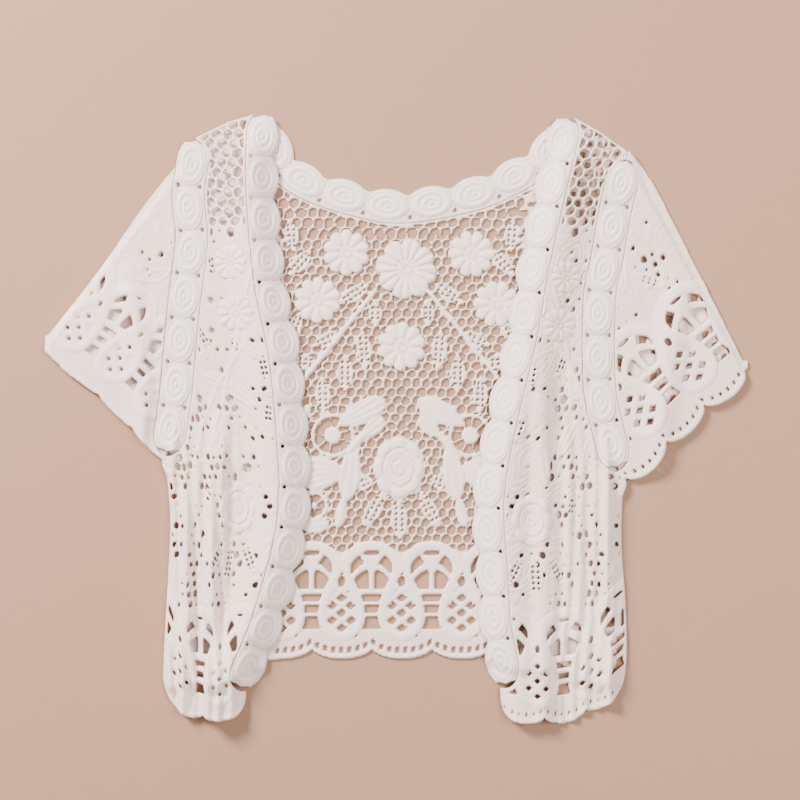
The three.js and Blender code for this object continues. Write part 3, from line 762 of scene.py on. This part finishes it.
def discs(name, motifs, low, height, material, steps=48, rings=14, rim=None, crowd=1.0):
    """Closed round pads. Each row of motifs is x, y, half length, half width and turn.

    A vertex on a ring at a share r of the radius and at the angle a lies at r times the
    rim's radius there, height(r, a) over the underside low(x, y). Rings lie closer to the
    middle where crowd is over 1. One more ring and a middle close the pad below.
    """
    motifs = np.asarray(motifs, float)
    even = np.linspace(0, 1, rings + 1)[1:]
    shares = np.concatenate([even ** crowd, [0.55]])
    angle = np.linspace(0, 2 * np.pi, steps, endpoint=False)
    r, a = np.meshgrid(shares, angle, indexing="ij")
    reach = r * (rim(a) if rim else 1)
    mx, my, long, wide, turn = (motifs[:, k, None, None] for k in range(5))
    u, v = long * reach * np.cos(a), wide * reach * np.sin(a)
    x = mx + u * np.cos(turn) - v * np.sin(turn)
    y = my + u * np.sin(turn) + v * np.cos(turn)
    base = low(x, y)
    rise = np.maximum(height(r, a), LEAST_RISE)
    z = base + rise
    z[:, -1] = base[:, -1] + 0.05
    ends = np.stack([motifs[:, 0], motifs[:, 1]], 1)
    middle = low(ends[:, 0], ends[:, 1])
    ring_places = np.stack([x, y, z], -1).reshape(len(motifs), -1, 3)
    poles = np.stack([np.column_stack([ends, middle + max(float(height(0.0, 0.0)), LEAST_RISE)]),
                      np.column_stack([ends, middle + 0.05])], 1)
    places = np.concatenate([ring_places, poles], 1)
    each = places.shape[1]
    step = np.arange(steps)
    after = (step + 1) % steps

    def ring(k, s):
        """Number of the vertex at step s of ring k."""
        return k * steps + s

    faces = []
    for k in range(rings - 1):
        faces.append(np.stack([ring(k, step), ring(k + 1, step), ring(k + 1, after)], 1))
        faces.append(np.stack([ring(k, step), ring(k + 1, after), ring(k, after)], 1))
    faces.append(np.stack([ring(rings - 1, step), ring(rings, step), ring(rings, after)], 1))
    faces.append(np.stack([ring(rings - 1, step), ring(rings, after), ring(rings - 1, after)], 1))
    top, bottom = (np.full(steps, each - k) for k in (2, 1))
    faces.append(np.stack([top, ring(0, step), ring(0, after)], 1))
    faces.append(np.stack([bottom, ring(rings, after), ring(rings, step)], 1))
    faces = np.concatenate(faces)
    faces = (faces[None] + each * np.arange(len(motifs))[:, None, None]).reshape(-1, 3)
    # raised grows with a pad's rise, so the material paints shade in its grooves, moats and slits.
    raised = np.clip((rise - 0.6) / (CLOTH + RELIEF - 0.6), 0, 1) * np.ones(x.shape)
    raised = np.concatenate([raised.reshape(len(motifs), -1), np.ones((len(motifs), 2))], 1)
    return mesh_object(name, places.reshape(-1, 3), faces, material, raised.ravel())


def petal_rim(petals, notch, turned=0.0):
    """Share of the radius that a flower reaches at the angle a."""
    def rim(a):
        return 1 - notch + notch * np.sqrt(np.abs(np.cos(petals * (a + turned) / 2)))
    return rim


def daisy_height(petals, slits):
    """Plump petals round a ringed eye, a groove between each two and slits between groups."""
    def height(r, a):
        side = np.abs(np.cos(petals * a / 2))
        swell = np.sqrt(np.clip(1 - ((r - 0.62) / 0.42) ** 2, 0, 1))
        petal = side ** 0.6 * swell * smooth((r - 0.27) / 0.1)
        eye = hump((r - 0.16) / 0.08)
        skirt = 1 - smooth((r - 0.88) / 0.12)
        turn = repeat(a - np.pi / petals, 2 * np.pi / max(slits, 1)) * r
        slit = hump(turn / 0.05) * smooth((r - 0.34) / 0.08) * smooth((0.97 - r) / 0.1) * (slits > 0)
        moat = hump((r - 0.27) / 0.06) + hump(r / 0.1)
        return 0.8 + 0.4 * skirt + 1.6 * np.maximum(petal, 0.9 * eye) - 0.9 * moat - 2.4 * slit
    return height


def rose_rim(a):
    """Share of the radius that the rose reaches at the angle a."""
    return 0.86 + 0.14 * np.sqrt(np.abs(np.cos(4 * a)))


def rose_height(r, a):
    """Two rows of petals parted by an eight-sided groove, and a ringed eye."""
    turn = np.abs((a + np.pi / 8) % (np.pi / 4) - np.pi / 8)
    side = r * np.cos(turn)
    groove = hump((side - 0.6) / 0.075)
    petal = 0.6 + 0.6 * np.abs(np.cos(4 * a)) ** 0.7 * smooth((r - 0.4) / 0.2)
    eye = 0.8 * hump((r - 0.27) / 0.06) + 0.9 * hump(r / 0.09)
    skirt = 1 - smooth((r - 0.84) / 0.16)
    return 0.9 + 0.55 * skirt + 1.3 * petal * skirt - 2.0 * groove - eye * 1.6 * (r < 0.34)


def on_table(x, y):
    """The underside of what lies on the table."""
    return np.full(np.shape(x), 0.02)


def relief_pads(daisies, rose, low):
    """Daisies and a rose as meshes of pads. Rows are x, y, half length, half width and turn."""
    small = [row for row in daisies if row[3] < LARGE_DAISY]
    large = [row for row in daisies if row[3] >= LARGE_DAISY]
    rim, height = petal_rim(10, 0.2), daisy_height(10, 0)
    made = [discs("daisies", small, low, height, lace_material, 100, 14, rim, 1.4),
            discs("rose", [rose], low, rose_height, lace_material, 96, 32, rose_rim)]
    if large:
        rim, height = petal_rim(8, 0.2, np.pi / 16), daisy_height(16, 8)
        made.append(discs("large_daisy", large, low, height, lace_material, 160, 15, rim, 1.4))
    return made


def join(piece, others):
    """Joins other meshes into a piece."""
    with bpy.context.temp_override(active_object=piece, selected_editable_objects=[piece, *others]):
        bpy.ops.object.join()


daisy_rows = [(x, y, r, r, 0.3 * k) for k, (x, y, r) in enumerate(DAISIES)]
join(back, relief_pads(daisy_rows, (*ROSE, 0), on_table))


# Neck border
# A chain of flat crochet rounds worked in rings, sewn edge to edge round the back neck. It
# lies on the table above the back.
STRIP_STEP = 1.5
STRIP_SHARE = 0.72
STRIP_LAP = 2.2


def round_height(r, a):
    """Rings of crochet: three round ridges, a raised eye and a rounded edge."""
    ridges = 0.5 + 0.5 * np.cos(2 * np.pi * (2.9 * r + 0.1 * np.sin(a) + 0.04 * np.sin(3 * a)))
    stitches = 0.1 * np.cos(24 * a) * smooth((r - 0.3) / 0.2)
    return 1.6 + (0.95 + stitches) * ridges * smooth((1.02 - r) / 0.1) - 0.85 * smooth((r - 0.9) / 0.1)


def ribbon(name, path, motifs, scallops, low, material):
    """The cord-edged strip under a row of rounds, on a grid along the path and across it.

    scallops is 1 or -1 where the strip follows the rounds' edge on the path's left or right
    side, and 0 where both its edges are straight. Small eyelets lie between the rounds.
    """
    length = path_places(path, 1)[1]
    line = path_places(path, round(length / STRIP_STEP))[0]
    way = path_ways(line)
    half = motifs[0][3] + CORD
    v = np.arange(-half - 2, half + 3, STRIP_STEP)
    x = line[:, :1] - way[:, 1:] * v
    y = line[:, 1:] + way[:, :1] * v
    s = np.linspace(0, length, len(line))[:, None]
    chain = chain_field(x, y, motifs)
    ending = smooth((0.5 * length / len(motifs) - np.minimum(s, length - s)) / 3)
    straight = np.minimum(half - np.abs(v), chain + 2 + 30 * (1 - ending))
    edge = np.where(v * scallops > 0, np.maximum(chain + 0.9, half - 5 - np.abs(v)), straight)
    eyelets = 1.5 - np.hypot(repeat(s, length / len(motifs)), (np.abs(v) - half + 4.4))
    thread = np.minimum.reduce([edge, -eyelets, STRIP_LAP - chain])
    relief = 0.6 * hump((edge - 1.3) / 1.5)
    bottom, top = heights(thread, relief, low(x, y))
    return lace(name, x, y, thread, bottom, bottom + STRIP_SHARE * (top - bottom), material)


def round_rim(a):
    """Share of the radius that a round reaches at the angle a: shallow lobes."""
    return 0.985 + 0.015 * np.cos(14 * a)


# The border's colours are the lace's cotton painted lighter, as painted light on rounds that turn away
# from the main lamp; BORDER_SHADE is the painted shade of their hollows and cut edges.
BORDER_LIT_COLOUR, BORDER_SHADE = (1.0, 0.83, 0.755, 1), (0.70, 0.53, 0.45, 1)
border_material = lace_cotton("border_cotton", BORDER_LIT_COLOUR, BORDER_SHADE)
neck_border = discs("neck_border_rounds", neck_motifs, on_table, round_height, border_material,
                    rim=round_rim)
join(neck_border, [ribbon("neck_strip", NECK, neck_motifs, 1, on_table, border_material)])
declare(neck_border, "neck_border", "border_cotton", (0.028, 0.305), 0.0079, ["back"])


# Fronts
# Two panels of the same lace, sewn to the back at the shoulders and the sides. They lie on the
# back in soft folds, gathered towards the side seams, and their front edges stand up a little.
UPPER = CLOTH + RELIEF + SEAM
FOLD_OVER = 5.5
BORDER_ACROSS = 23
BORDER_HALF = BORDER_ACROSS / 2 + CORD
FRONT_STEP = 1.12
FRONT_STEMS = [((8, 130), (60, 10)), ((30, 60), (96, -10))]

# Each front's flat size and cloth, where its gathers start and end and their share of it, its
# first pineapple's distance out and their pitch, and how much its band's holes are closed up.
# Motifs are x and y on the cloth, from the front edge and in height, then as for the back.
FRONTS = {
    "left": {
        "cut": ((0.130, 0.470), 0.037),
        "gather": (122, 182, 0.75),
        "band": (140, 32),
        "narrowed": 1.1,
        "daisies": [(31, 124, 14), (33, 84, 15)],
        "rose": (46, -72, 19, 22),
        "leaves": [
            (12, 98, 20, 8, 80), (44, 122, 22, 9, 60), (40, 55, 26, 10, 100), (18, 40, 26, 9, 84),
            (66, 66, 26, 10, 70), (12, -62, 28, 9, 90), (18, 4, 24, 9, 100), (88, -60, 24, 10, 100),
            (30, -112, 26, 10, 60), (50, -116, 28, 12, 90), (70, -112, 26, 10, 120), (92, 40, 24, 9, 95),
        ],
        "plumes": [
            (50, -28, 36, 15, 70), (72, -8, 34, 16, 120), (38, 18, 30, 13, 40), (84, -94, 30, 14, 60),
            (96, -24, 30, 13, 95), (64, 30, 26, 12, 20), (14, -112, 26, 12, 110), (96, 84, 30, 13, 80),
        ],
    },
    "right": {
        "cut": ((0.120, 0.470), 0.037),
        "gather": (118, 170, 0.5),
        "band": (112, 43),
        "narrowed": 0.8,
        "daisies": [(28, 112, 13), (29, 74, 14)],
        "rose": (35, -82, 17, 22),
        "leaves": [
            (12, 90, 20, 8, 100), (42, 112, 22, 9, 60), (40, 45, 26, 10, 80), (16, 34, 26, 9, 96),
            (64, 56, 26, 10, 110), (12, -70, 28, 9, 90), (16, -8, 24, 9, 80), (76, -70, 24, 10, 80),
            (18, -122, 26, 10, 60), (35, -127, 28, 12, 90), (54, -122, 26, 10, 120), (90, 30, 24, 9, 85),
        ],
        "plumes": [
            (40, -38, 36, 15, 110), (62, -18, 34, 16, 60), (34, 8, 30, 13, 140), (74, -104, 30, 14, 120),
            (88, -34, 30, 13, 85), (60, 20, 26, 12, 160), (90, -130, 28, 12, 100), (92, 74, 30, 13, 100),
        ],
    },
}


def upper_height(side, x, y):
    """Underside of the upper layer: it rolls down to the table at the folded edges and at the
    hem, stands up beside the front edge and runs over soft folds, which are bell-shaped."""
    out = side["sign"] * x
    armpit = side["side"][0][0]
    past = line_at(side["side"], y) - out
    below = smooth((armpit - 4 - y) / 12)
    body_edge = 1 - below * (1 - smooth(past / FOLD_OVER))
    hem_edge = smooth((y - back_hem(x) + 14) / 10)
    a, b = side["sleeve_top"][0], side["sleeve_top"][-1]
    length = np.hypot(b[0] - a[0], b[1] - a[1])
    down = ((b[0] - a[0]) * (a[1] - y) + (b[1] - a[1]) * (out - a[0])) / length
    on_sleeve = smooth((out - a[0]) / 14)
    top_edge = 1 - on_sleeve * (1 - smooth((down - 1) / FOLD_OVER))
    rest = UPPER * np.minimum(body_edge, top_edge) * hem_edge

    ridge, reach = side["ridge"]
    half = BORDER_ACROSS / 2
    beyond = out - line_at(side["front_edge"], y)
    rise = np.where(beyond < half, smooth((beyond + half) / (2 * half)), hump((beyond - half) / reach))
    soften = smooth((side["shoulder"][1][1] - y) / 40)
    armhole_line = line_at(side["armhole"], y)
    armhole = smooth((armhole_line + 6 - out) / 14)
    in_body = np.where(y < armpit, smooth(past / 10), armhole)
    lift = ridge * rise * soften * np.where(y < armpit, 1, armhole)
    for crest, lean, width, height, start in side["folds"]:
        line = crest + lean * smooth((start - y) / 200)
        lift += height * hump((out - line) / width) * smooth((start - y) / 60) * in_body
    for crest, lean, width, height, start in side["sleeve_folds"]:
        line = crest + lean * smooth((start - y) / 160)
        lift += (height * hump((out - line) / width) * smooth((start - y) / 50)
                 * smooth((down - 4) / 16) * smooth((out - armhole_line - 12) / 10))
    return rest + lift


def creases(side, x, y):
    """Small soft creases of the gathered front, deeper towards the side seam and the hem."""
    out = side["sign"] * x
    plan = FRONTS[side["name"]]
    start, end, _ = plan["gather"]
    where = smooth((out - start) / 20) * smooth((end + 6 - out) / 10) * smooth((40 - y) / 120)
    wave = np.sin(out * 0.62 + 2.2 * np.sin(y / 47) + 0.6 * np.sin(y / 19))
    slow = np.sin(out * 0.29 + y / 61)
    return where * np.maximum(1.5 * wave + 0.8 * slow + 1.2, 0)


def hem_line(rows, out):
    """Height of a hem's cusps at the distances out, a curve through its three rows."""
    line = path_places(rows, 40)[0]
    line = line[line[:, 0].argsort()]
    return np.interp(out, line[:, 0], line[:, 1])


def unrolled(side, out, y):
    """Distance of a place from the front edge over the cloth, which is gathered in folds."""
    start, end, extra = FRONTS[side["name"]]["gather"]
    taken_up = (end - start) * smooth((out - start) / (end - start)) * extra
    return out - line_at(side["front_edge"], y) + taken_up * smooth((90 - y) / 140)


def front_path(side, key):
    """A line's table as a path of places x, y."""
    return [(side["sign"] * out, y) for y, out in side[key]]


def off_border(side, x, y, line, motifs):
    """How far a place lies outside a border: beside its line, and outside the last rounds at
    its two ends."""
    rows = side[line]
    beside = np.abs(aside(x, y, front_path(side, line))) - BORDER_HALF
    ends = (y < rows[-1][0] + 16) | (y > rows[0][0] - 16)
    gap = np.where((line == "armhole") & (y > 0), 0.2, 2)
    return TUCK + np.where(ends, np.maximum(beside, -gap - chain_field(x, y, side[motifs])), beside)


def front_panel(side):
    """A front: columns run from the front edge to the side seam, rows up the panel."""
    plan = FRONTS[side["name"]]
    sign = side["sign"]
    low_y = min(row[1] for row in side["hem"]) - 10
    vs = np.arange(low_y, 246, FRONT_STEP)
    inner = line_at(side["front_edge"], vs) - 2 - 3 * smooth((side["front_edge"][-1][0] + 5 - vs) / 8)
    outer = outer_line(side, vs) + 1.5
    share = np.linspace(0, 1, int((outer - inner).max() / FRONT_STEP) + 1)
    out = inner[:, None] + share * (outer - inner)[:, None]
    y = np.repeat(vs[:, None], len(share), 1)
    x = sign * out

    a = unrolled(side, out, y)
    dense = smooth((165 - y) / 25)
    closed = 1.0 + dense * (2.6 + 1.0 * drift(a, y))
    chart = Chart(a, y, net(a + 3, y, 9.0, closed, 0.2 + 1.5 * dense))
    for row in plan["leaves"]:
        chart.leaf(*row)
    for dx, dy, long, wide, turn in plan["plumes"]:
        chart.motif(plume(long, wide, 2), dx, dy, long, turn)
    for start, end in FRONT_STEMS:
        chart.line(start, end, 1.8)
    for dx, dy, radius in plan["daisies"]:
        chart.motif(flower_pad(radius), dx, dy, radius)
    chart.rose(*plan["rose"])

    count, depth = side["hem_scallops"]
    rows = side["hem"]
    cusps = hem_line(rows, out)
    s = np.clip((rows[0][0] - out) / (rows[0][0] - rows[-1][0]), 0, 1)
    edge = (y - cusps + depth * np.sqrt(np.abs(np.sin(np.pi * count * s)))) * 0.95
    first, pitch = plan["band"]
    put_band(chart, (out - first) / pitch * BAND_PITCH, y - cusps, edge)
    chart.thread += plan["narrowed"] * smooth((90 - y + cusps) / 20)

    shoulder = np.array(side["shoulder"], float)
    top = np.interp(out, shoulder[:, 0], shoulder[:, 1])
    within = [
        (top - y) * 0.9,
        rounded(edge, outer_line(side, y) - out, 12),
        rounded(edge, out - inner[:, None] - 1, 10),
        off_border(side, x, y, "front_edge", "edge_motifs"),
        off_border(side, x, y, "armhole", "arm_motifs"),
    ]
    low = upper_height(side, x, y) + creases(side, x, y)
    return panel(side["name"] + "_front_lace", x, y, chart, within, low)


def pad_row(side, a, y, wide, tall):
    """A pad at the pattern place a, y of a front: it is narrowed where the cloth is gathered."""
    out = np.linspace(60, 200, 600)
    along = unrolled(side, out, np.full(600, float(y)))
    near, at, far = np.interp((a - 5, a, a + 5), along, out)
    return side["sign"] * at, y, wide * (far - near) / 10, tall, 0


def on_front(side):
    """The underside of what lies on a front: a little over the underside of its lace."""
    def low(x, y):
        return upper_height(side, x, y) + creases(side, x, y) + 0.05
    return low


MOTIF = {"pitch": 34, "across": 23, "overlap": 1.2}
for side in (LEFT, RIGHT):
    side["edge_motifs"] = motif_row(front_path(side, "front_edge"), **MOTIF)
    side["arm_motifs"] = motif_row(front_path(side, "armhole"), **MOTIF)
    front = front_panel(side)
    plan = FRONTS[side["name"]]
    pads = [pad_row(side, dx, dy, radius, radius) for dx, dy, radius in plan["daisies"]]
    join(front, relief_pads(pads, pad_row(side, *plan["rose"]), on_front(side)))
    declare(front, side["name"] + "_front", "lace_cotton", *plan["cut"], ["back"])


# Front and armhole borders
# The same crochet rounds run down each front edge and round each armhole, where sleeve and
# front are sewn to them. They follow the folds of the cloth.
for side in (LEFT, RIGHT):
    low = on_front(side)
    for kind, line, motifs, scallops, flat, area in (
        ("front", "front_edge", side["edge_motifs"], -side["sign"], (0.026, 0.475), 0.0118),
        ("armhole", "armhole", side["arm_motifs"], 0, (0.026, 0.25), 0.0064),
    ):
        node = f"{side['name']}_{kind}_border"
        path = front_path(side, line)
        rounds = discs(node + "_rounds", motifs, low, round_height, border_material, rim=round_rim)
        join(rounds, [ribbon(node + "_strip", path, motifs, scallops, low, border_material)])
        declare(rounds, node, "border_cotton", flat, area, ["back"])


# Sleeves
# Each sleeve is a short wide tube laid flat, folded along its straight top edge. The upper
# layer rolls down to the table there, and the lower layer lies on the table under it.
SLEEVE_STEP = {"over": 1.15, "under": 1.9}
SLEEVE_CUT = ((0.19, 0.16), 0.0135)
SLEEVE_END = 281

# Each sleeve's first pineapple, their pitch and the height of the band over the hem, the layers
# that show the band, how much its holes are closed up, and half the width of each net's threads.
SLEEVES = {
    "left": {
        "band": (31, 41, 5),
        "banded": ("over",),
        "narrowed": 1.3,
        "closed": {"over": 3.2, "under": 5.0},
    },
    "right": {
        "band": (30, 53, 3),
        "banded": ("over", "under"),
        "narrowed": 0.5,
        "closed": {"over": 3.4, "under": 3.6},
    },
}


def sleeve_panel(side, layer):
    """One layer of a sleeve: columns run along the folded edge, rows down from it."""
    plan = SLEEVES[side["name"]]
    step = SLEEVE_STEP[layer]
    a, b = np.array(side["sleeve_top"][0], float), np.array(side["sleeve_top"][-1], float)
    way = (b - a) / np.hypot(*(b - a))
    along, down = np.meshgrid(np.arange(-20, 240, step), np.arange(-8, 150, step))
    out = a[0] + along * way[0] + down * way[1]
    y = a[1] + along * way[1] - down * way[0]
    x = side["sign"] * out

    hem = np.array(side["sleeve_hem"], float)
    start, end = hem[0], hem[-1]
    full = np.hypot(*(end - start))
    run = (end - start) / full

    def from_hem(out, y):
        """A place's distances along the straight line between the hem's ends, and out from it."""
        dx, dy = out - start[0], y - start[1]
        return dx * run[0] + dy * run[1], dy * run[0] - dx * run[1]

    s, off = from_hem(out, y)
    q = np.interp(s, *from_hem(*path_places(side["sleeve_hem"], 40)[0].T)) - off
    count, depth = side["sleeve_scallops"]
    edge = q + depth * np.sqrt(np.abs(np.sin(np.pi * count * np.clip(s / full, 0, 1))))

    chart = Chart(s, q, net(s, q, 8.6, plan["closed"][layer] + 0.9 * drift(s, q), 1.5))
    for k in range(4):
        chart.motif(ladder_leaf(26, 10), 8 + 34 * k, 104 + 12 * (k % 2), 16, 60 + 25 * k)
        chart.motif(plume(30, 13, 2), 22 + 34 * k, 122 - 10 * (k % 2), 22, 120 - 20 * k)
    for k in range(6):
        chart.motif(flower_pad(9, 8), 4 + 24 * k, 142 + 8 * (k % 2), 10)
    if layer in plan["banded"]:
        first, pitch, raised_by = plan["band"]
        half_turn = 0 if layer == "over" else pitch / 2
        put_band(chart, (s - first - half_turn) / pitch * BAND_PITCH, q - raised_by, edge)
        chart.thread += plan["narrowed"]
    top = path_places(side["sleeve_top"], 40)[0]
    fold = (np.interp(out, top[:, 0], top[:, 1]) - y) * abs(way[0])
    chart.thread = np.maximum(chart.thread, np.minimum(fold, 7 - fold))
    beyond = side["sign"] * aside(x, y, front_path(side, "armhole")) + 1.5 * smooth((y - 196) / 6)
    within = [edge, fold, SLEEVE_END - out, beyond]
    if layer == "over":
        within.append(off_border(side, x, y, "armhole", "arm_motifs"))
        low = upper_height(side, x, y)
    else:
        within.append(fold - LOWER_INSET)
        low = np.zeros(x.shape)
        chart.relief *= 0
    return panel(f"{side['name']}_sleeve_{layer}_lace", x, y, chart, within, low)


for side in (LEFT, RIGHT):
    for layer in ("over", "under"):
        node = f"{side['name']}_sleeve_{layer}"
        below = [f"{side['name']}_sleeve_under"] if layer == "over" else []
        declare(sleeve_panel(side, layer), node, "lace_cotton", *SLEEVE_CUT, below)
